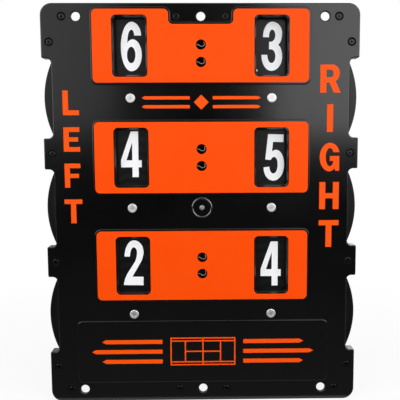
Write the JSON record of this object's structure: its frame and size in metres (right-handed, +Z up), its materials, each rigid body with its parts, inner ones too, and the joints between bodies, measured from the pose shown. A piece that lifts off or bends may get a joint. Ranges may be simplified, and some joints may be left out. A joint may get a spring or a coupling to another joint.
{
  "type": "tennis scoreboard",
  "caption": "Flat rectangular courtside tennis scoreboard: a moulded case whose windows show figures on overlapping discs, which a thumb turns at notches in the sides.",
  "frame": {"origin": "middle of the back face, straight behind the centre of the four corner mounting holes", "axes": "+Z up the board, +X to the right of someone who faces it, and the front faces -Y"},
  "size_m": [0.468, 0.0264, 0.6],
  "materials": {
    "case_plastic": "satin black moulded ABS",
    "label_plastic": "satin orange polycarbonate sheet",
    "rivet_plastic": "satin black nylon",
    "screw_steel": "black oxide steel",
    "disc_plastic": "matte black polystyrene sheet",
    "hub_plastic": "natural grey acetal",
    "post_steel": "polished stainless steel",
    "washer_nylon": "natural nylon",
    "washer_rubber": "soft black rubber"
  },
  "bodies": {
    "case": {"front_panel": "case_plastic", "rear_panel": "case_plastic", "label_plate_top": "label_plastic", "label_plate_middle": "label_plastic", "label_plate_lower": "label_plastic", "label_rivets": "rivet_plastic", "perimeter_screws": "screw_steel", "axle_post_top_left": "post_steel", "axle_screw_top_left": "screw_steel", "front_washer_top_left": "washer_nylon", "rear_washer_top_left": "washer_rubber", "axle_post_top_right": "post_steel", "axle_screw_top_right": "screw_steel", "front_washer_top_right": "washer_nylon", "rear_washer_top_right": "washer_rubber", "axle_post_middle_left": "post_steel", "axle_screw_middle_left": "screw_steel", "front_washer_middle_left": "washer_nylon", "rear_washer_middle_left": "washer_rubber", "axle_post_middle_right": "post_steel", "axle_screw_middle_right": "screw_steel", "front_washer_middle_right": "washer_nylon", "rear_washer_middle_right": "washer_rubber", "axle_post_lower_left": "post_steel", "axle_screw_lower_left": "screw_steel", "front_washer_lower_left": "washer_nylon", "rear_washer_lower_left": "washer_rubber", "axle_post_lower_right": "post_steel", "axle_screw_lower_right": "screw_steel", "front_washer_lower_right": "washer_nylon", "rear_washer_lower_right": "washer_rubber"},
    "disc_top_left": {"number_disc_top_left": "disc_plastic", "disc_hub_top_left": "hub_plastic"},
    "disc_top_right": {"number_disc_top_right": "disc_plastic", "disc_hub_top_right": "hub_plastic"},
    "disc_middle_left": {"number_disc_middle_left": "disc_plastic", "disc_hub_middle_left": "hub_plastic"},
    "disc_middle_right": {"number_disc_middle_right": "disc_plastic", "disc_hub_middle_right": "hub_plastic"},
    "disc_lower_left": {"number_disc_lower_left": "disc_plastic", "disc_hub_lower_left": "hub_plastic"},
    "disc_lower_right": {"number_disc_lower_right": "disc_plastic", "disc_hub_lower_right": "hub_plastic"}
  },
  "joints": [
    {"name": "disc_top_left_turn", "type": "hinge", "parent": "case", "child": "disc_top_left", "pos_m": [-0.1045, -0.0105, 0.163], "axis": [0, 1, 0], "continuous": true},
    {"name": "disc_top_right_turn", "type": "hinge", "parent": "case", "child": "disc_top_right", "pos_m": [0.1045, -0.007, 0.163], "axis": [0, 1, 0], "continuous": true},
    {"name": "disc_middle_left_turn", "type": "hinge", "parent": "case", "child": "disc_middle_left", "pos_m": [-0.1045, -0.014, 0], "axis": [0, 1, 0], "continuous": true},
    {"name": "disc_middle_right_turn", "type": "hinge", "parent": "case", "child": "disc_middle_right", "pos_m": [0.1045, -0.0105, 0], "axis": [0, 1, 0], "continuous": true},
    {"name": "disc_lower_left_turn", "type": "hinge", "parent": "case", "child": "disc_lower_left", "pos_m": [-0.1045, -0.0175, -0.163], "axis": [0, 1, 0], "continuous": true},
    {"name": "disc_lower_right_turn", "type": "hinge", "parent": "case", "child": "disc_lower_right", "pos_m": [0.1045, -0.014, -0.163], "axis": [0, 1, 0], "continuous": true}
  ]
}
